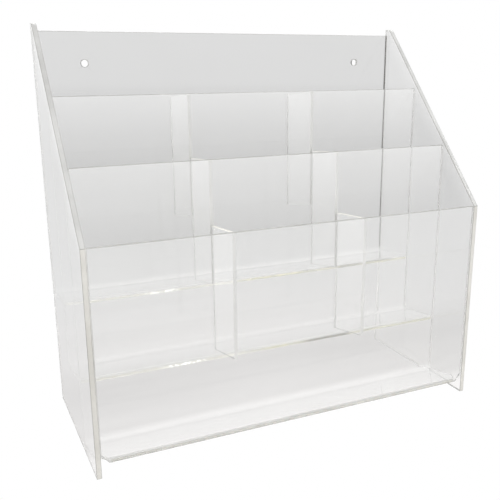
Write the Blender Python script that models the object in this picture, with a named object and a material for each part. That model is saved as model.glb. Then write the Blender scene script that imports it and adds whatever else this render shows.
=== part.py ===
# Clear acrylic magazine rack: three stepped tiers, each three pockets wide, between two side panels.
# Metres. +X is the rack's right, -Y its front and +Z up. The origin is on the table, under its middle.
import math

import bmesh
import bpy
from mathutils import Vector

# Overall
RACK_WIDTH = 0.345           # over both side panels
RACK_DEPTH = 0.148           # front edge to rear edge of a side panel
MM = 0.001

# Side panels
SIDE_THICKNESS = 4 * MM
SIDE_HEIGHT = 0.330          # at the rear edge
SIDE_FRONT_HEIGHT = 0.178    # where the front edge meets the slanted one
SIDE_TOP_FLAT = 7 * MM       # short level stretch at the apex, before its corner is rounded
APEX_ROUNDING = 3 * MM

# Sheets and dividers
SHEET = 3 * MM               # thickness of the front panel, the bent sheets and the dividers
BOND_GAP = 0.3 * MM          # left at every solvent-welded joint
TIER_COUNT = 3
TIER_STEP_BACK = 47 * MM
TIER_STEP_UP = 48.5 * MM
FRONT_BOTTOM = 11.5 * MM     # lower edge of the front panel above the table
BACK_TOP = 0.3245            # top edge of the back sheet
FLOOR_FRONT = (FRONT_BOTTOM, 57.8 * MM, 107.6 * MM)   # underside of each floor at its front edge
FLOOR_SLOPE = (11.0, 8.4, 7.7)    # degrees that each floor falls towards the rear
BEND_RADIUS = 3 * MM         # inside radius of the bend between a floor and its upright
BEND_SEGMENTS = 10
RELIEF_WIDTH = 6 * MM        # lower corners of the front panel and its floor, along the width
RELIEF_HEIGHT = 7.5 * MM     # the same relief, up the front panel
RELIEF_DEPTH = 11 * MM       # the same relief, back along the floor

# Dividers
DIVIDER_OFFSET = 58 * MM     # from the rack's middle to a divider's middle
DIVIDER_TOP = (0.8 * MM, 4.7 * MM)        # below the tier's top edge, at the front and at the rear
DIVIDER_BOTTOM = (103 * MM, 111.3 * MM)   # the same for the lower edge

# Wall screw holes in the back sheet
HOLE_RADIUS = 3 * MM
HOLE_FROM_SIDE = 41 * MM     # from the outer face of a side panel
HOLE_HEIGHT = 0.299
HOLE_SIDES = 48

EDGE_BREAK = 0.25 * MM       # flame-polished edges

FRONT_Y = -RACK_DEPTH / 2
REAR_Y = RACK_DEPTH / 2
INNER_HALF = RACK_WIDTH / 2 - SIDE_THICKNESS
SHEET_HALF = INNER_HALF - BOND_GAP

PANEL_COLOUR = (0.93, 0.95, 0.94)
SHEET_COLOUR = (0.92, 0.93, 0.93)
DIVIDER_COLOUR = (0.95, 0.96, 0.96)
ROUGHNESS = 0.04


def clear_scene():
    for obj in list(bpy.data.objects):
        bpy.data.objects.remove(obj, do_unlink=True)


def acrylic(name, colour):
    """A clear acrylic material of its own for one piece."""
    material = bpy.data.materials.new(name)
    material.use_nodes = True
    shader = material.node_tree.nodes["Principled BSDF"]
    shader.inputs["Base Color"].default_value = (*colour, 1.0)
    shader.inputs["Roughness"].default_value = ROUGHNESS
    shader.inputs["Metallic"].default_value = 0.0
    shader.inputs["IOR"].default_value = 1.49
    return material


def prism(name, outline, direction, colour, rounded=()):
    """A plate: a flat outline of 3-D points swept along a vector, some of its corners rounded first."""
    bm = bmesh.new()
    verts = [bm.verts.new(point) for point in outline]
    bm.faces.new(verts)
    corners = [verts[index] for index, _ in rounded]
    if corners:
        bmesh.ops.bevel(bm, geom=corners, offset=rounded[0][1], segments=6, profile=0.5, affect="VERTICES")
    face = bm.faces[:][0]
    swept = bmesh.ops.extrude_face_region(bm, geom=[face])
    moved = [item for item in swept["geom"] if isinstance(item, bmesh.types.BMVert)]
    bmesh.ops.translate(bm, verts=moved, vec=Vector(direction))
    bmesh.ops.recalc_face_normals(bm, faces=bm.faces[:])
    mesh = bpy.data.meshes.new(name)
    bm.to_mesh(mesh)
    bm.free()
    obj = bpy.data.objects.new(name, mesh)
    bpy.context.collection.objects.link(obj)
    mesh.materials.append(acrylic(name + "_acrylic", colour))
    return obj


def break_edges(obj):
    """Breaks the sharp edges, as polishing does, and shades the bends smooth."""
    bevel = obj.modifiers.new("polished_edges", "BEVEL")
    bevel.width = EDGE_BREAK
    bevel.segments = 2
    bevel.limit_method = "ANGLE"
    bevel.angle_limit = math.radians(35)
    obj.data.shade_smooth()
    obj.data.set_sharp_from_angle(angle=math.radians(35))


def cut(obj, cutter):
    """Takes a hidden cutter out of a piece."""
    cutter.hide_render = True
    cutter.display_type = "WIRE"
    boolean = obj.modifiers.new("cut_" + cutter.name, "BOOLEAN")
    boolean.operation = "DIFFERENCE"
    boolean.object = cutter
    boolean.solver = "EXACT"


def tier_top(tier):
    """Height of the top edge of tier 0 (the front panel), 1 or 2."""
    return SIDE_FRONT_HEIGHT + tier * TIER_STEP_UP


def upright_front(tier):
    """Y of the front face of the sheet that stands in front of a tier; the last one is the back."""
    if tier == TIER_COUNT:
        return REAR_Y - SHEET
    return FRONT_Y + tier * TIER_STEP_BACK


def arc(centre, radius, start, end):
    """Points of an arc in the YZ plane, angles measured from +Y towards +Z."""
    points = []
    for step in range(BEND_SEGMENTS + 1):
        angle = start + (end - start) * step / BEND_SEGMENTS
        points.append((centre[0] + radius * math.cos(angle), centre[1] + radius * math.sin(angle)))
    return points


def side_panel(name, inner_x, sign):
    outline = [
        (inner_x, FRONT_Y, 0),
        (inner_x, REAR_Y, 0),
        (inner_x, REAR_Y, SIDE_HEIGHT),
        (inner_x, REAR_Y - SIDE_TOP_FLAT, SIDE_HEIGHT),
        (inner_x, FRONT_Y, SIDE_FRONT_HEIGHT),
    ]
    obj = prism(name, outline, (sign * SIDE_THICKNESS, 0, 0), PANEL_COLOUR, rounded=[(3, APEX_ROUNDING)])
    break_edges(obj)
    return obj


def front_panel():
    top = tier_top(0)
    outline = [
        (-SHEET_HALF + RELIEF_WIDTH, FRONT_Y, FRONT_BOTTOM),
        (SHEET_HALF - RELIEF_WIDTH, FRONT_Y, FRONT_BOTTOM),
        (SHEET_HALF, FRONT_Y, FRONT_BOTTOM + RELIEF_HEIGHT),
        (SHEET_HALF, FRONT_Y, top),
        (-SHEET_HALF, FRONT_Y, top),
        (-SHEET_HALF, FRONT_Y, FRONT_BOTTOM + RELIEF_HEIGHT),
    ]
    obj = prism("front_panel", outline, (0, SHEET, 0), SHEET_COLOUR)
    break_edges(obj)
    return obj


def bent_sheet(name, tier, top):
    """A pocket floor and the upright behind it, in one sheet: the floor's front edge is square."""
    front = upright_front(tier) + SHEET + BOND_GAP
    under = FLOOR_FRONT[tier]
    slope = math.radians(FLOOR_SLOPE[tier])
    face = upright_front(tier + 1)
    outer_radius = BEND_RADIUS + SHEET
    centre_y = face - BEND_RADIUS
    fall = (centre_y - front) * math.sin(slope)
    centre = (centre_y, under + (outer_radius - fall) / math.cos(slope))
    start = math.radians(270) - slope
    end = math.radians(360)
    profile = [(front, under)]
    profile += arc(centre, outer_radius, start, end)
    profile += [(face + SHEET, top), (face, top)]
    profile += arc(centre, BEND_RADIUS, end, start)
    profile.append((front + SHEET * math.sin(slope), under + SHEET * math.cos(slope)))
    outline = [(-SHEET_HALF, y, z) for y, z in profile]
    obj = prism(name, outline, (2 * SHEET_HALF, 0, 0), SHEET_COLOUR)
    break_edges(obj)
    return obj


def relief_cutter(name, sign):
    """A wedge off the front corner of the first floor, under the relief in the front panel."""
    low = -10 * MM
    reach = 2 * MM
    front = upright_front(0) + SHEET
    outline = [
        (sign * (SHEET_HALF + reach), front - reach, low),
        (sign * (SHEET_HALF - RELIEF_WIDTH), front - reach, low),
        (sign * (SHEET_HALF - RELIEF_WIDTH), front, low),
        (sign * SHEET_HALF, front + RELIEF_DEPTH, low),
        (sign * (SHEET_HALF + reach), front + RELIEF_DEPTH, low),
    ]
    return prism(name, outline, (0, 0, 40 * MM), SHEET_COLOUR)


def screw_hole_cutter(name, x):
    bpy.ops.mesh.primitive_cylinder_add(
        vertices=HOLE_SIDES, radius=HOLE_RADIUS, depth=4 * SHEET,
        location=(x, REAR_Y, HOLE_HEIGHT), rotation=(math.radians(90), 0, 0))
    cutter = bpy.context.object
    cutter.name = name
    return cutter


def divider(name, tier, x):
    """Fills a pocket from front to back; its upper and lower edges both fall towards the rear."""
    front = upright_front(tier) + SHEET + BOND_GAP
    rear = upright_front(tier + 1) - BOND_GAP
    half = SHEET / 2
    outline = [
        (-half, front, -DIVIDER_BOTTOM[0]),
        (-half, rear, -DIVIDER_BOTTOM[1]),
        (-half, rear, -DIVIDER_TOP[1]),
        (-half, front, -DIVIDER_TOP[0]),
    ]
    obj = prism(name, outline, (SHEET, 0, 0), DIVIDER_COLOUR)
    obj.location = (x, 0, tier_top(tier))
    break_edges(obj)
    return obj


clear_scene()

side_panel("left_side_panel", -INNER_HALF, -1)
side_panel("right_side_panel", INNER_HALF, 1)
front_panel()

lower_sheet = bent_sheet("lower_tier_sheet", 0, tier_top(1))
upper_sheet = bent_sheet("upper_tier_sheet", 1, tier_top(2))
back_sheet = bent_sheet("back_tier_sheet", 2, BACK_TOP)

for side, sign in (("left", -1), ("right", 1)):
    cut(lower_sheet, relief_cutter("relief_" + side, sign))
    cut(back_sheet, screw_hole_cutter("screw_hole_" + side, sign * (RACK_WIDTH / 2 - HOLE_FROM_SIDE)))

for tier, row in enumerate(("front", "middle", "rear")):
    for side, sign in (("left", -1), ("right", 1)):
        divider(f"divider_{row}_{side}", tier, sign * DIVIDER_OFFSET)
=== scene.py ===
import math

import bmesh
import bpy
from mathutils import Matrix, Vector


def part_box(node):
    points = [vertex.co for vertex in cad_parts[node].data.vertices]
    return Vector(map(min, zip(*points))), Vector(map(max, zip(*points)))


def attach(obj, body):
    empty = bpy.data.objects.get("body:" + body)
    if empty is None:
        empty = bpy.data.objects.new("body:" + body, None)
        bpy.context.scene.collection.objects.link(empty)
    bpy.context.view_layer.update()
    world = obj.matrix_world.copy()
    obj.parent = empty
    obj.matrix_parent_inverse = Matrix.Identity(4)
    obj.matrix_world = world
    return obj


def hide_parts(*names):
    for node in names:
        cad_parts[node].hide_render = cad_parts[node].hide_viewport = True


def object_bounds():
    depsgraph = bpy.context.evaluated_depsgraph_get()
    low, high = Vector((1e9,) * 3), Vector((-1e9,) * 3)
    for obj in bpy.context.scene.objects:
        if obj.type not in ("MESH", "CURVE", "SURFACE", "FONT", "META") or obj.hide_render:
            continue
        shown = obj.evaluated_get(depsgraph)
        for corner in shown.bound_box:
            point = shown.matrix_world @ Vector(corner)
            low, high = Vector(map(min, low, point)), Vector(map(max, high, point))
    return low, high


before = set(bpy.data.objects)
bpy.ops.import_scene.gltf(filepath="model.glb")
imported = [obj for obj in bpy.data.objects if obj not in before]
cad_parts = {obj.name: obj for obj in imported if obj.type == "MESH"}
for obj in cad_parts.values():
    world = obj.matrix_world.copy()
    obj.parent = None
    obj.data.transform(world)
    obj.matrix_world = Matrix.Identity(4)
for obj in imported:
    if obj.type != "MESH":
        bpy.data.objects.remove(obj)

cadBounds = [list(corner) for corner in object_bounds()]
print("frame loaded:", len(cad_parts), "nodes")

mm = 0.001
low, high = Vector(cadBounds[0]), Vector(cadBounds[1])
gap = 0.3 * mm          # left open at every welded joint
flatAngle = math.radians(20)

view = {
    "location": (-0.2544, -0.5494, 0.3024),
    "yaw": 0.4419,      # turned to the right of straight on
    "pitch": 0.2736,    # looking down
    "roll": -0.0009,
    "lens": 51.06,
    "shift": (-0.04, 0.016),
}

studio = {
    "white": 1.0,           # what the camera sees around the rack
    "wall": 0.71,           # the backdrop seen through acrylic
    "floorSize": 40.0,
    # radius and level of the floor seen through acrylic: painted shade in rings around the rack
    "floorRings": ((0.0, 0.71), (0.25, 0.66), (0.7, 0.61), (1.6, 0.59), (3.0, 0.63), (9.0, 0.71)),
    "warmth": (1.0, 0.985, 0.98, 1.0),  # of the floor close to the rack
    "streaks": 0.07,        # soft sheen on the paper close to the rack
    "contact": 0.10,        # shadow on the paper under the first floor
    "contactBack": 52 * mm,     # how far that shadow lies before the sheet's rear
    "frontGlow": 0.34,      # painted light on the paper under the front edge
    "rearShade": 0.09,      # and a darker band behind the rack
    "mirrored": 0.88,       # seen in a reflection
    "scattered": 1.5,       # as light on dust and frosted edges
    "stripRadiance": 14.0,
    "bounces": 96,
}


class Sum:
    # wraps a socket, so that maths on values reads as maths
    def __init__(self, nodes, socket):
        self.nodes = nodes
        self.socket = socket

    def maths(self, operation, *values, clamp=False):
        node = self.nodes.tree.nodes.new("ShaderNodeMath")
        node.operation = operation
        node.use_clamp = clamp
        for place, value in enumerate(values):
            self.nodes.feed(node.inputs[place], value)
        return Sum(self.nodes, node.outputs[0])

    def __add__(self, other):
        return self.maths("ADD", self, other)

    def __radd__(self, other):
        return self.maths("ADD", other, self)

    def __sub__(self, other):
        return self.maths("SUBTRACT", self, other)

    def __rsub__(self, other):
        return self.maths("SUBTRACT", other, self)

    def __mul__(self, other):
        return self.maths("MULTIPLY", self, other)

    def __rmul__(self, other):
        return self.maths("MULTIPLY", other, self)

    def __truediv__(self, other):
        return self.maths("DIVIDE", self, other)

    def __rtruediv__(self, other):
        return self.maths("DIVIDE", other, self)

    def clamped(self):
        return self.maths("MULTIPLY", self, 1.0, clamp=True)

    def absolute(self):
        return self.maths("ABSOLUTE", self)

    def power(self, exponent):
        return self.maths("POWER", self, exponent)

    def greater(self, other):
        return self.maths("GREATER_THAN", self, other)

    def ramp(self, start, end):
        # 0 at start, 1 at end, straight between
        return ((self - start) / (end - start)).clamped()


class Nodes:
    # one material's node tree
    def __init__(self, tree):
        self.tree = tree
        tree.nodes.clear()

    def feed(self, socket, value):
        if isinstance(value, Sum):
            self.tree.links.new(value.socket, socket)
        elif isinstance(value, bpy.types.NodeSocket):
            self.tree.links.new(value, socket)
        else:
            socket.default_value = value

    def add(self, kind, settings=None, **inputs):
        # any node: settings first, then the values or links of its sockets
        node = self.tree.nodes.new("ShaderNode" + kind)
        for name, value in (settings or {}).items():
            setattr(node, name, value)
        for name, value in inputs.items():
            self.feed(node.inputs[name.replace("_", " ")], value)
        return node

    def value(self, node, output=0):
        return Sum(self, node.outputs[output])

    def position(self):
        # object coordinates, whole and as three values
        place = self.add("TexCoord").outputs["Object"]
        parts = self.add("SeparateXYZ", None, Vector=place)
        return place, [self.value(parts, axis) for axis in range(3)]

    def mixColour(self, factor, first, second):
        node = self.add("Mix", {"data_type": "RGBA"})
        self.feed(node.inputs["Factor"], factor)
        self.feed(node.inputs[6], first)
        self.feed(node.inputs[7], second)
        return node.outputs[2]

    def mixShader(self, factor, first, second):
        node = self.add("MixShader")
        self.feed(node.inputs[0], factor)
        self.tree.links.new(first, node.inputs[1])
        self.tree.links.new(second, node.inputs[2])
        return node.outputs[0]

    def finish(self, shader):
        output = self.add("OutputMaterial")
        self.tree.links.new(shader, output.inputs["Surface"])


def newMaterial(name):
    material = bpy.data.materials.new(name)
    material.use_nodes = True
    return material, Nodes(material.node_tree)


def grey(level):
    return (level, level, level, 1.0)


backfacing = 6      # that output of the Geometry node

acrylic = {
    "tint": (0.988, 0.988, 0.986, 1.0),
    "smudgeTint": (0.97, 0.97, 0.966, 1.0),
    "ior": 1.49,
    "roughness": 0.012,
    "smudgeRoughness": 0.035,
    "smudgeScale": 9.0,
    "dustScale": 240.0,
    "haze": (0.95, 0.95, 0.945, 1.0),
    "paintedBendHighlight": 0.13,           # painted highlight: share of whitish veil along a heat bend
    "slantHaze": 0.10,          # beside the side panels' slanted edges
    "slantBand": 16 * mm,
}


def acrylicFaces(name, hazeTop, hazeBase, top, fade, bend=None, floorHaze=0.0, slant=None):
    # clear cast sheet: faint smudges and a whitish haze that is strongest near the top edge, a little dust
    # all over and painted light above it that makes the sheet lighter towards its top
    # bend is the (y, z) of a heat bend's axis: the bend gets a whitish veil as a painted highlight and the
    # floor beside it more haze
    # slant is the two ends, each (y, z), of a slanted edge with a hazier band beside it
    material, nodes = newMaterial(name)
    place, (x, y, z) = nodes.position()
    cloud = nodes.value(nodes.add(
        "TexNoise", None, Vector=place, Scale=acrylic["smudgeScale"], Detail=3.0, Roughness=0.55))
    fine = nodes.value(nodes.add(
        "TexNoise", None, Vector=place, Scale=acrylic["dustScale"], Detail=2.0, Roughness=0.6))
    smudge = cloud.ramp(0.48, 0.72)
    glass = nodes.add(
        "BsdfPrincipled", None,
        Base_Color=nodes.mixColour(smudge, acrylic["tint"], acrylic["smudgeTint"]),
        Roughness=acrylic["roughness"] + smudge * acrylic["smudgeRoughness"] * fine,
        IOR=acrylic["ior"], Transmission_Weight=1.0)
    dustAndPaintedLight = nodes.add(
        "BsdfPrincipled", None, Base_Color=acrylic["haze"], Roughness=0.7 + fine * 0.2,
        Specular_IOR_Level=0.2)
    # painted light: the veil rises from hazeBase to hazeTop over fade below the top edge, so the sheet is
    # painted lighter towards its top
    veil = hazeBase + z.ramp(top - fade, top) * (hazeTop - hazeBase)
    if bend:
        bendY, bendZ = bend
        # painted highlight: a whitish veil along the heat bend
        onBend = y.ramp(bendY - 1.5 * mm, bendY + 0.3 * mm)
        onBend = onBend * (1 - z.ramp(bendZ - 1.8 * mm, bendZ + 0.2 * mm))
        veil = veil + onBend * acrylic["paintedBendHighlight"]
        veil = veil + (1 - z.ramp(bendZ + 1 * mm, bendZ + 3 * mm)) * floorHaze
    if slant:
        (startY, startZ), (endY, endZ) = slant
        rise, reach = endZ - startZ, endY - startY
        length = math.hypot(rise, reach)
        inward = (y - startY) * (rise / length) - (z - startZ) * (reach / length)
        veil = veil + (1 - inward.ramp(0.0, acrylic["slantBand"])).power(1.5) * acrylic["slantHaze"]
    # the veil, dust and painted light alike, lies on the outside of a sheet, so a ray that is already inside
    # meets none
    outside = 1 - nodes.value(nodes.add("NewGeometry"), backfacing)
    veil = veil * (0.9 + cloud * 0.2) * outside
    nodes.finish(nodes.mixShader(veil.clamped(), glass.outputs[0], dustAndPaintedLight.outputs[0]))
    return material


# each rim finish: pale colour, deep colour, share of the light that it scatters,
# and how much of that share is lost where the rim is seen from inside the sheet
# painted light and shade: the same cut edge comes in lighter and darker copies by which way it faces and
# where it sits, lighter on upright, bonded, joint and divider top rims, darker on top rims, arrises and
# divider rear rims
rims = {
    "acrylic_top_rim": ((0.40, 0.40, 0.385, 1.0), (0.30, 0.30, 0.28, 1.0), 0.9, 0.6),
    "acrylic_sloped_rim": ((0.50, 0.50, 0.49, 1.0), (0.40, 0.40, 0.39, 1.0), 0.9, 0.6),
    "acrylic_upright_rim": ((0.54, 0.53, 0.50, 1.0), (0.46, 0.45, 0.42, 1.0), 0.9, 0.8),
    "acrylic_arris": ((0.34, 0.34, 0.32, 1.0), (0.24, 0.24, 0.22, 1.0), 0.9, 0.8),
    "acrylic_bonded_edge": ((0.58, 0.58, 0.57, 1.0), (0.53, 0.53, 0.52, 1.0), 0.8, 0.9),
    "acrylic_bright_edge": ((0.70, 0.69, 0.64, 1.0), (0.60, 0.59, 0.53, 1.0), 0.95, 0.9),
    "acrylic_side_joint": ((0.70, 0.695, 0.68, 1.0), (0.62, 0.615, 0.60, 1.0), 0.95, 0.85),
    "acrylic_loose_edge": ((0.30, 0.29, 0.27, 1.0), (0.12, 0.12, 0.10, 1.0), 0.9, 0.5),
    "acrylic_dry_joint": ((0.07, 0.055, 0.05, 1.0), (0.02, 0.015, 0.015, 1.0), 0.9, 0.0),
}


def acrylicRim(name, pale, deep, scatter, clearInside):
    # sawn and flame-polished rim: deeper colour in patches, fine cutter marks along it
    material, nodes = newMaterial(name)
    place = nodes.position()[0]
    patches = nodes.value(nodes.add("TexNoise", None, Vector=place, Scale=26.0, Detail=3.0, Roughness=0.6))
    marks = nodes.value(nodes.add("TexNoise", None, Vector=place, Scale=900.0, Detail=1.0))
    colour = nodes.mixColour(patches.ramp(0.38, 0.66), pale, deep)
    bump = nodes.add("Bump", None, Strength=0.12, Distance=0.0002, Height=marks)
    glass = nodes.add(
        "BsdfPrincipled", None, Base_Color=colour, Roughness=0.08 + marks * 0.08,
        IOR=acrylic["ior"], Transmission_Weight=1.0, Normal=bump.outputs[0])
    frost = nodes.add(
        "BsdfPrincipled", None, Base_Color=colour, Roughness=0.4 + marks * 0.2, Specular_IOR_Level=0.3,
        Normal=bump.outputs[0])
    inside = nodes.value(nodes.add("NewGeometry"), backfacing)
    share = (scatter + (marks - 0.5) * 0.2) * (1 - inside * clearInside)
    nodes.finish(nodes.mixShader(share.clamped(), glass.outputs[0], frost.outputs[0]))
    return material


rimFinish = {name: acrylicRim(name, *values) for name, values in rims.items()}
rimOrder = list(rims)

weld = {
    "clear": (0.97, 0.97, 0.93, 1.0),
    "cream": (0.66, 0.65, 0.59, 1.0),
    "paintedGlint": (0.95, 0.95, 0.92, 1.0),
    "yellow": (0.60, 0.58, 0.42, 1.0),
    "dry": (0.20, 0.19, 0.15, 1.0),
    "runScale": 22.0,
    "bubbleScale": 420.0,
}


def weldFinish(name, glintPatch, bubblePatch, dryPatch):
    # dried solvent cement: a milky stretch with painted glints, bright specks that stand for sparkle, runs of
    # tiny bubbles, and a dry stretch where none ran in
    material, nodes = newMaterial(name)
    place, (x, y, z) = nodes.position()
    runs = nodes.value(nodes.add("TexNoise", None, Vector=place, Scale=weld["runScale"], Detail=2.0))
    bubbles = nodes.value(nodes.add("TexNoise", None, Vector=place, Scale=weld["bubbleScale"], Detail=1.0))

    def stretch(patch, blend):
        return x.ramp(patch[0], patch[0] + blend) * (1 - x.ramp(patch[1] - blend, patch[1]))

    glintStretch = stretch(glintPatch, 10 * mm)
    bubbly = stretch(bubblePatch, 4 * mm)
    dry = stretch(dryPatch, 8 * mm)
    beyond = x.ramp(bubblePatch[0] - 10 * mm, bubblePatch[0] + 10 * mm)
    # painted glints: bright specks in the milky stretch stand for sparkle
    paintedGlints = glintStretch * bubbles.ramp(0.47, 0.6)
    milkAndPaintedGlints = 0.5 + runs.ramp(0.42, 0.6) * 0.3 + paintedGlints * 0.4 + bubbly * bubbles.ramp(0.4, 0.55) * 0.4
    milkAndPaintedGlints = milkAndPaintedGlints - beyond * 0.15 + dry * 0.3
    glass = nodes.add(
        "BsdfPrincipled", None, Base_Color=weld["clear"], Roughness=0.12 + bubbles * 0.1,
        IOR=acrylic["ior"], Transmission_Weight=1.0)
    milk = nodes.mixColour(paintedGlints, weld["cream"], weld["paintedGlint"])
    milk = nodes.mixColour((beyond * 0.6 + bubbly * 0.4).clamped(), milk, weld["yellow"])
    foam = nodes.add(
        "BsdfPrincipled", None, Base_Color=nodes.mixColour(dry, milk, weld["dry"]),
        Roughness=0.25 + bubbles * 0.2)
    nodes.finish(nodes.mixShader(milkAndPaintedGlints.clamped(), glass.outputs[0], foam.outputs[0]))
    return material


print("finishes made")


def rimName(face):
    # the rim's finish by the way a face looks, painted lighter or darker by which way it faces; a strip
    # narrower than an edge break is an arris
    longest = max(edge.calc_length() for edge in face.edges)
    if face.calc_area() < longest * 0.45 * mm:
        return "acrylic_arris"
    if face.normal.z > 0.95:
        return "acrylic_top_rim"
    if face.normal.z > 0.3:
        return "acrylic_sloped_rim"
    return "acrylic_upright_rim"


def finishPiece(name, bm, faceMaterial, isFace, pickRim=None):
    # pickRim names a rim's own finish, or nothing for the usual one; slot 0 is the sheet's faces
    bmesh.ops.recalc_face_normals(bm, faces=bm.faces[:])
    for face in bm.faces:
        face.smooth = True
        if not isFace(face):
            chosen = (pickRim and pickRim(face)) or rimName(face)
            face.material_index = 1 + rimOrder.index(chosen)
    for edge in bm.edges:
        if len(edge.link_faces) == 2:
            edge.smooth = edge.calc_face_angle(0.0) < flatAngle
    mesh = bpy.data.meshes.new(name)
    bm.to_mesh(mesh)
    bm.free()
    mesh.materials.append(faceMaterial)
    for finish in rimOrder:
        mesh.materials.append(rimFinish[finish])
    piece = bpy.data.objects.new(name, mesh)
    bpy.context.collection.objects.link(piece)
    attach(piece, "root")
    return piece


def breakEdges(bm, width, segments=2):
    sharp = [edge for edge in bm.edges if edge.calc_face_angle(0.0) > math.radians(35)]
    bmesh.ops.bevel(
        bm, geom=sharp, offset=width, offset_type="OFFSET", segments=segments, profile=0.5,
        affect="EDGES", material=-1)


def sweptPlate(outline, sweep, rounded=None):
    # a flat outline swept into a plate; rounded is (corner, radius)
    bm = bmesh.new()
    corners = [bm.verts.new(point) for point in outline]
    bm.faces.new(corners)
    if rounded:
        bmesh.ops.bevel(
            bm, geom=[corners[rounded[0]]], offset=rounded[1], segments=8, profile=0.5,
            affect="VERTICES", material=-1)
    swept = bmesh.ops.extrude_face_region(bm, geom=bm.faces[:])
    moved = [item for item in swept["geom"] if isinstance(item, bmesh.types.BMVert)]
    bmesh.ops.translate(bm, verts=moved, vec=Vector(sweep))
    bmesh.ops.recalc_face_normals(bm, faces=bm.faces[:])
    return bm


sidePanel = {
    "topFlat": 7 * mm,
    "apexRounding": 3 * mm,
    "edgeBreak": 0.35 * mm,
    "hazeTop": 0.09,
    "hazeBase": 0.01,
}

frontLow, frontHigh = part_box("front_panel")
sideFinish = acrylicFaces(
    "acrylic_side_panel", sidePanel["hazeTop"], sidePanel["hazeBase"], high.z, high.z,
    slant=((low.y, frontHigh[2]), (high.y - sidePanel["topFlat"], high.z)))


def makeSidePanel(node):
    near, far = (Vector(corner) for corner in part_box(node))
    outline = [
        (near.x, near.y, near.z),
        (near.x, far.y, near.z),
        (near.x, far.y, far.z),
        (near.x, far.y - sidePanel["topFlat"], far.z),
        (near.x, near.y, frontHigh[2]),
    ]
    bm = sweptPlate(outline, (far.x - near.x, 0, 0), rounded=(3, sidePanel["apexRounding"]))
    breakEdges(bm, sidePanel["edgeBreak"])
    piece = finishPiece(
        node + "_sheet", bm, sideFinish, lambda face: abs(face.normal.x) > 0.99)
    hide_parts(node)


for node in ("left_side_panel", "right_side_panel"):
    makeSidePanel(node)
print("side panels made")


frontPanel = {
    "reliefWidth": 6 * mm,      # lower corners cut back
    "reliefHeight": 7.5 * mm,
    "edgeBreak": 0.3 * mm,
    "hazeTop": 0.135,
    "hazeBase": 0.075,
}


def makeFrontPanel():
    near, far = Vector(frontLow), Vector(frontHigh)
    inset, rise = frontPanel["reliefWidth"], frontPanel["reliefHeight"]
    outline = [
        (near.x + inset, near.y, near.z),
        (far.x - inset, near.y, near.z),
        (far.x, near.y, near.z + rise),
        (far.x, near.y, far.z),
        (near.x, near.y, far.z),
        (near.x, near.y, near.z + rise),
    ]
    bm = sweptPlate(outline, (0, far.y - near.y, 0))
    breakEdges(bm, frontPanel["edgeBreak"])
    finish = acrylicFaces("acrylic_front_panel", frontPanel["hazeTop"], frontPanel["hazeBase"], far.z, far.z)

    def pickRim(face):
        middle = face.calc_center_median()
        if middle.z < near.z + 1.2 * rise:
            return "acrylic_bonded_edge"
        if abs(face.normal.x) > 0.5:
            return "acrylic_side_joint"
        return None

    piece = finishPiece(
        "front_panel_sheet", bm, finish, lambda face: abs(face.normal.y) > 0.99, pickRim)
    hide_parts("front_panel")


makeFrontPanel()
print("front panel made")


tierSheet = {
    "thickness": 3 * mm,
    "bendRadius": 3 * mm,           # inside
    "bendSteps": 16,
    "hold": 1.5 * mm,               # strip beside the bend that keeps the flats flat
    "edgeBreak": 0.3 * mm,
    "reliefWidth": 6 * mm,
    "reliefDepth": 11 * mm,
    "holeRadius": 3 * mm,
    "holeFromSide": 41 * mm,
    "holeHeight": 0.299,
    "holeCell": 6 * mm,             # half the square that a hole is cut in
    "holeCuts": 11,                 # points added to each of its sides
    "fade": 62 * mm,
}
# fall is each floor's slope towards the rear in degrees
tiers = {
    "lower_tier_sheet": {"fall": 11.0, "hazeTop": 0.205, "hazeBase": 0.025, "floorHaze": 0.085},
    "upper_tier_sheet": {"fall": 8.4, "hazeTop": 0.165, "hazeBase": 0.008, "floorHaze": 0.025},
    "back_tier_sheet": {"fall": 7.7, "hazeTop": 0.03, "hazeBase": 0.0, "floorHaze": 0.015},
}


def floorLine(node):
    # a bent sheet's box, its slope, its bend's axis, and where its underside starts and how far it runs
    near, far = (Vector(corner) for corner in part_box(node))
    slope = math.radians(tiers[node]["fall"])
    outer = tierSheet["bendRadius"] + tierSheet["thickness"]
    centre = Vector((0, far.y - outer, near.z + outer))
    contact = centre + outer * Vector((0, -math.sin(slope), -math.cos(slope)))
    along = Vector((0, math.cos(slope), -math.sin(slope)))
    run = (contact.y - near.y) / math.cos(slope)
    return near, far, slope, centre, contact - along * run, along, run


def extrudeEdge(bm, edge, offset):
    grown = bmesh.ops.extrude_edge_only(bm, edges=[edge])["geom"]
    verts = [item for item in grown if isinstance(item, bmesh.types.BMVert)]
    bmesh.ops.translate(bm, verts=verts, vec=Vector(offset))
    return next(item for item in grown if isinstance(item, bmesh.types.BMEdge))


def makeHole(bm, centre):
    # cuts a square cell free, rounds an inset of its rim and takes out the middle
    radius, cell = tierSheet["holeRadius"], tierSheet["holeCell"]
    for axis, normal in ((0, Vector((1, 0, 0))), (2, Vector((0, 0, 1)))):
        for sign in (-1, 1):
            point = centre.copy()
            point[axis] += sign * cell
            bmesh.ops.bisect_plane(
                bm, geom=bm.verts[:] + bm.edges[:] + bm.faces[:], dist=0.01 * mm,
                plane_co=point, plane_no=normal)
    disc = min(bm.faces, key=lambda face: (face.calc_center_median() - centre).length)
    bmesh.ops.subdivide_edges(bm, edges=disc.edges[:], cuts=tierSheet["holeCuts"])
    disc = min(bm.faces, key=lambda face: (face.calc_center_median() - centre).length)
    bmesh.ops.inset_individual(bm, faces=[disc], thickness=cell * 0.3)
    for vert in disc.verts:
        vert.co = centre + (vert.co - centre).normalized() * radius
    bmesh.ops.delete(bm, geom=[disc], context="FACES")


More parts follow.
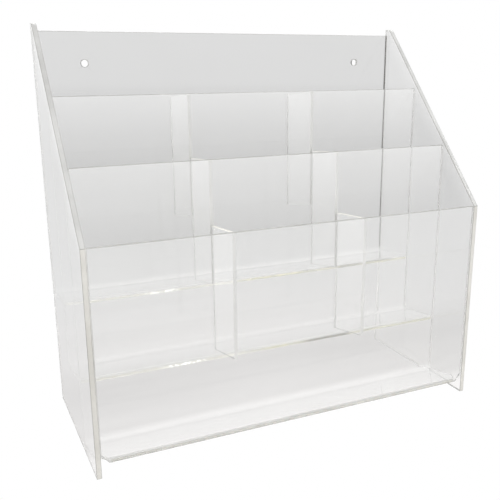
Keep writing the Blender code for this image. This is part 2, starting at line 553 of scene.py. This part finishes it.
def makeTierSheet(node):
    near, far, slope, centre, start, along, run = floorLine(node)
    thick, hold = tierSheet["thickness"], tierSheet["hold"]
    bm = bmesh.new()
    first = bm.verts.new((near.x, start.y, start.z))
    last = bm.verts.new((far.x, start.y, start.z))
    edge = bm.edges.new((first, last))
    edge = extrudeEdge(bm, edge, along * (run - hold))
    edge = extrudeEdge(bm, edge, along * hold)
    spun = bmesh.ops.spin(
        bm, geom=[edge, *edge.verts], cent=centre, axis=Vector((1, 0, 0)),
        angle=math.radians(90) + slope, steps=tierSheet["bendSteps"], use_merge=False)
    edge = next(item for item in spun["geom_last"] if isinstance(item, bmesh.types.BMEdge))
    edge = extrudeEdge(bm, edge, (0, 0, hold))
    extrudeEdge(bm, edge, (0, 0, far.z - centre.z - hold))
    if node == "back_tier_sheet":
        reach = high.x - tierSheet["holeFromSide"]
        for sign in (-1, 1):
            makeHole(bm, Vector((sign * reach, far.y, tierSheet["holeHeight"])))
    bmesh.ops.recalc_face_normals(bm, faces=bm.faces[:])
    upright = next(face for face in bm.faces if face.calc_center_median().z > centre.z + 2 * hold)
    if upright.normal.y < 0:
        bmesh.ops.reverse_faces(bm, faces=bm.faces[:])
    bmesh.ops.solidify(bm, geom=bm.faces[:], thickness=thick)
    if node == "lower_tier_sheet":
        for sign in (-1, 1):
            trimCorner(bm, near, far, sign)
    bmesh.ops.recalc_face_normals(bm, faces=bm.faces[:])
    breakEdges(bm, tierSheet["edgeBreak"])
    look = tiers[node]
    finish = acrylicFaces(
        "acrylic_" + node, look["hazeTop"], look["hazeBase"], far.z, tierSheet["fade"],
        (centre.y, centre.z), look["floorHaze"])
    floorNormal = Vector((0, math.sin(slope), math.cos(slope)))

    def isFace(face):
        inBend = abs(face.normal.x) < 0.01 and face.calc_center_median().z < centre.z + hold
        return abs(face.normal.y) > 0.99 or abs(face.normal.dot(floorNormal)) > 0.99 or (
            inBend and face.calc_center_median().y > near.y + 2 * hold)

    def pickRim(face):
        middle = face.calc_center_median()
        if node == "back_tier_sheet" and face.normal.x > 0.9 and middle.z > centre.z:
            return "acrylic_dry_joint"
        lowest = node == "lower_tier_sheet" and middle.z < near.z + 4 * thick
        if middle.y < near.y + thick or lowest:
            return "acrylic_bonded_edge"
        if abs(face.normal.x) > 0.5:
            return "acrylic_bonded_edge" if face.normal.x < 0 else "acrylic_side_joint"
        return None

    piece = finishPiece(node + "_acrylic", bm, finish, isFace, pickRim)
    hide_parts(node)


def trimCorner(bm, near, far, sign):
    corner = Vector((sign * (far.x - tierSheet["reliefWidth"]), near.y, 0))
    end = Vector((sign * far.x, near.y + tierSheet["reliefDepth"], 0))
    along = (end - corner).normalized()
    outward = Vector((sign * along.y, -sign * along.x, 0))
    cut = bmesh.ops.bisect_plane(
        bm, geom=bm.verts[:] + bm.edges[:] + bm.faces[:], plane_co=corner, plane_no=outward, clear_outer=True)
    rim = [item for item in cut["geom_cut"] if isinstance(item, bmesh.types.BMEdge)]
    bmesh.ops.holes_fill(bm, edges=rim, sides=0)


for node in ("lower_tier_sheet", "upper_tier_sheet", "back_tier_sheet"):
    makeTierSheet(node)
print("tier sheets made")


divider = {
    "frontHeight": 102.2 * mm,
    "topFall": 3.9 * mm,        # the upper edge falls this far towards the rear
    "edgeBreak": 0.3 * mm,
    "hazeTop": 0.15,
    "hazeBase": 0.035,
    "fade": 85 * mm,
}


def makeDivider(node, dividerFinish):
    near, far = (Vector(corner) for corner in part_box(node))
    outline = [
        (near.x, near.y, far.z - divider["frontHeight"]),
        (near.x, far.y, near.z),
        (near.x, far.y, far.z - divider["topFall"]),
        (near.x, near.y, far.z),
    ]
    bm = sweptPlate(outline, (far.x - near.x, 0, 0))
    breakEdges(bm, divider["edgeBreak"])

    def pickRim(face):
        # painted highlight on the upper rims, painted shade on the rear rim
        if face.normal.y > 0.9:
            return "acrylic_loose_edge"
        return "acrylic_bright_edge" if face.normal.z > 0.6 else "acrylic_bonded_edge"

    piece = finishPiece(
        node + "_sheet", bm, dividerFinish, lambda face: abs(face.normal.x) > 0.99,
        pickRim)
    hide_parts(node)


for row in ("front", "middle", "rear"):
    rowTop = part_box(f"divider_{row}_left")[1][2]
    rowFinish = acrylicFaces(
        f"acrylic_{row}_dividers", divider["hazeTop"], divider["hazeBase"], rowTop, divider["fade"])
    for side in ("left", "right"):
        makeDivider(f"divider_{row}_{side}", rowFinish)
print("dividers made")


bead = {
    "leg": 0.8 * mm,            # of the bead in the corner under a floor
    "filmHeight": 1.2 * mm,     # up the joint in front of it
    "clearance": 0.06 * mm,     # kept from the sheets
    "steps": 96,
    "swell": 0.16,              # how unevenly it hangs
}
nowhere = (0.30, 0.34)          # past the rack's end
# the floor over each weld, and where along x it is milky with painted glints, bubbly and dry
floorWelds = {
    "lower_weld": ("lower_tier_sheet", nowhere, nowhere, nowhere),
    "middle_weld": ("upper_tier_sheet", (-0.105, -0.06), (-0.012, 0.014), (0.024, 0.078)),
    "upper_weld": ("back_tier_sheet", (-0.11, -0.07), (-0.012, 0.05), (0.085, 0.118)),
}


def makeFloorWeld(name, floorNode, glintPatch, bubblePatch, dryPatch):
    # a film in the joint and a hollow bead under it, along the floor's front edge
    near, far, slope, centre, start, along, run = floorLine(floorNode)
    under = start.z
    wall = near.y - gap + 0.05 * mm
    sheet = near.y - bead["clearance"]
    leg, film = bead["leg"], bead["filmHeight"]
    if floorNode == "lower_tier_sheet":
        # flush with the front panel's lower edge and its cut corners: a shorter film and no bead
        inset = 8 * mm
        foot = under + 0.2 * mm
        profile = [(wall, under + film), (wall, foot), (sheet, foot), (sheet, under + film)]
    else:
        inset = 1 * mm
        profile = [
            (wall, under + film),
            (wall, under - leg),
            (wall + 0.12 * mm, under - leg * 0.9),
            (wall + 0.26 * leg, under - leg * 0.42),
            (wall + 0.55 * leg, under - 0.22 * mm),
            (near.y + 0.6 * leg, under - 0.16 * mm),
            (sheet, under - 0.1 * mm),
            (sheet, under + film),
        ]
    stride = (far.x - near.x - 2 * inset) / bead["steps"]
    bm = bmesh.new()
    ring = bm.faces.new([bm.verts.new((near.x + inset, y, z)) for y, z in profile])
    pivot = Vector((0, wall, under))
    swell = 1.0
    for step in range(bead["steps"]):
        grown = bmesh.ops.extrude_face_region(bm, geom=[ring])["geom"]
        verts = [item for item in grown if isinstance(item, bmesh.types.BMVert)]
        if step:
            bmesh.ops.delete(bm, geom=[ring], context="FACES_ONLY")
        ring = next(item for item in grown if isinstance(item, bmesh.types.BMFace))
        bmesh.ops.translate(bm, verts=verts, vec=Vector((stride, 0, 0)))
        wanted = 1.0 + bead["swell"] * math.sin(step * 0.9) * math.sin(step * 0.37 + near.z * 90)
        below = [vert for vert in verts if vert.co.z < under]
        bmesh.ops.scale(
            bm, verts=below, vec=Vector((1, 1, wanted / swell)), space=Matrix.Translation(-pivot))
        swell = wanted
    bmesh.ops.recalc_face_normals(bm, faces=bm.faces[:])
    for face in bm.faces:
        face.smooth = True
    for edge in bm.edges:
        edge.smooth = edge.calc_face_angle(0.0) < 2 * flatAngle
    mesh = bpy.data.meshes.new(name)
    bm.to_mesh(mesh)
    bm.free()
    mesh.materials.append(weldFinish("cement_" + name, glintPatch, bubblePatch, dryPatch))
    piece = bpy.data.objects.new(name, mesh)
    bpy.context.collection.objects.link(piece)
    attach(piece, "root")


for name, (floorNode, *patches) in floorWelds.items():
    makeFloorWeld(name, floorNode, *patches)
print("welds made")


def stagedLevel(nodes, behind):
    # the level of light, white straight to the camera, grey behind the acrylic, even in reflections
    # and as light; and whether the camera sees it straight
    path = nodes.add("LightPath")
    straight = nodes.value(path, path.outputs.find("Is Camera Ray"))
    mirrored = nodes.value(path, path.outputs.find("Is Reflection Ray"))
    scattered = nodes.value(path, path.outputs.find("Diffuse Depth")).greater(0.5)
    level = behind + mirrored * (studio["mirrored"] - behind)
    level = level + scattered * (studio["scattered"] - level)
    return level + straight * (studio["white"] - level), straight


def makeFloor():
    bm = bmesh.new()
    bmesh.ops.create_grid(bm, x_segments=4, y_segments=4, size=studio["floorSize"])
    bmesh.ops.translate(bm, verts=bm.verts[:], vec=(0, 0, low.z - 0.2 * mm))
    mesh = bpy.data.meshes.new("studio_floor")
    bm.to_mesh(mesh)
    bm.free()
    floor = bpy.data.objects.new("studio_floor", mesh)
    bpy.context.collection.objects.link(floor)
    material, nodes = newMaterial("pale_paper")
    x, y = nodes.position()[1][:2]
    reach = (x * x + y * y).power(0.5)
    # the floor seen through acrylic is painted with light and shade: shade in rings around the rack, sheen in
    # streaks, a shadow under the first floor, light under the front edge and shade behind the rack
    rings = studio["floorRings"]
    behind = rings[0][1]
    for (start, first), (end, second) in zip(rings, rings[1:]):
        behind = behind + reach.ramp(start, end) * (second - first)
    closeBy = 1 - reach.ramp(0.15, 0.45)
    drawn = nodes.add("CombineXYZ", None, X=x * 3.0, Y=y * 28.0)
    sheen = nodes.value(nodes.add("TexNoise", None, Vector=drawn.outputs[0], Scale=1.0, Detail=2.0))
    behind = behind + (sheen - 0.5) * closeBy * studio["streaks"] * 2
    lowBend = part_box("lower_tier_sheet")[1][1] - studio["contactBack"]
    contact = (1 - (y - lowBend).absolute().ramp(0.0, 7 * mm)) * (1 - x.absolute().ramp(0.165, 0.175))
    behind = behind - contact * studio["contact"]
    inFront = (1 - y.ramp(low.y + 18 * mm, low.y + 48 * mm)) * closeBy
    atRear = y.ramp(10 * mm, 60 * mm) * (1 - y.ramp(90 * mm, 150 * mm))
    behind = behind + inFront * studio["frontGlow"] - atRear * closeBy * studio["rearShade"]
    level, straight = stagedLevel(nodes, behind)
    colour = nodes.mixColour(closeBy * (1 - straight), grey(1.0), studio["warmth"])
    lit = nodes.add("VectorMath", {"operation": "SCALE"}, Vector=colour, Scale=level)
    glow = nodes.add("Emission", None, Color=lit.outputs[0], Strength=1.0)
    nodes.finish(glow.outputs[0])
    material.cycles.emission_sampling = "NONE"
    mesh.materials.append(material)


def makeWorld():
    world = bpy.data.worlds.new("studio_light")
    world.use_nodes = True
    nodes = Nodes(world.node_tree)
    level = stagedLevel(nodes, studio["wall"])[0]
    light = nodes.add("Background", None, Color=level, Strength=1.0)
    output = nodes.add("OutputWorld")
    nodes.tree.links.new(light.outputs[0], output.inputs["Surface"])
    world.cycles.sampling_method = "NONE"
    bpy.context.scene.world = world


# place and size of each strip light
strips = {
    "front_strip": ((0.7, -0.75, 1.1), (1.8, 0.22)),
    "rear_strip": ((0.5, 0.9, 1.2), (1.6, 0.2)),
}


def makeStrip(name, place, size):
    # a strip light that only shows as a highlight
    lamp = bpy.data.lights.new(name, "AREA")
    lamp.energy = studio["stripRadiance"] * math.pi * size[0] * size[1]
    lamp.shape = "RECTANGLE"
    lamp.size, lamp.size_y = size
    rig = bpy.data.objects.new(name, lamp)
    rig.location = place
    aim = Vector((0, 0, 0.15)) - Vector(place)
    rig.rotation_euler = aim.to_track_quat("-Z", "Y").to_euler()
    rig.visible_camera = False
    rig.visible_transmission = False
    rig.visible_diffuse = False
    bpy.context.collection.objects.link(rig)


def makeCamera():
    yaw, pitch, roll = view["yaw"], view["pitch"], view["roll"]
    right = Vector((math.cos(yaw), -math.sin(yaw), 0))
    ahead = Vector((math.sin(yaw), math.cos(yaw), 0))
    up = Vector((0, 0, 1))
    lookAt = ahead * math.cos(pitch) - up * math.sin(pitch)
    above = up * math.cos(pitch) + ahead * math.sin(pitch)
    side = right * math.cos(roll) + above * math.sin(roll)
    top = above * math.cos(roll) - right * math.sin(roll)
    camera = bpy.data.objects.new("camera", bpy.data.cameras.new("camera"))
    camera.matrix_world = Matrix.Translation(view["location"]) @ Matrix(
        (side, top, -lookAt)).transposed().to_4x4()
    camera.data.lens = view["lens"]
    camera.data.sensor_width = 36.0
    camera.data.shift_x, camera.data.shift_y = view["shift"]
    camera.data.clip_start = 0.01
    bpy.context.collection.objects.link(camera)
    bpy.context.scene.camera = camera


makeFloor()
makeWorld()
for name, (place, size) in strips.items():
    makeStrip(name, place, size)
makeCamera()

scene = bpy.context.scene
scene.view_settings.view_transform = "Standard"
# light trapped between a sheet's faces needs many bounces to come out again
scene.cycles.max_bounces = studio["bounces"]
scene.cycles.transmission_bounces = studio["bounces"]
scene.cycles.glossy_bounces = studio["bounces"]
scene.cycles.diffuse_bounces = 8
scene.cycles.blur_glossy = 0.0
scene.cycles.transparent_max_bounces = 28
print("studio made")
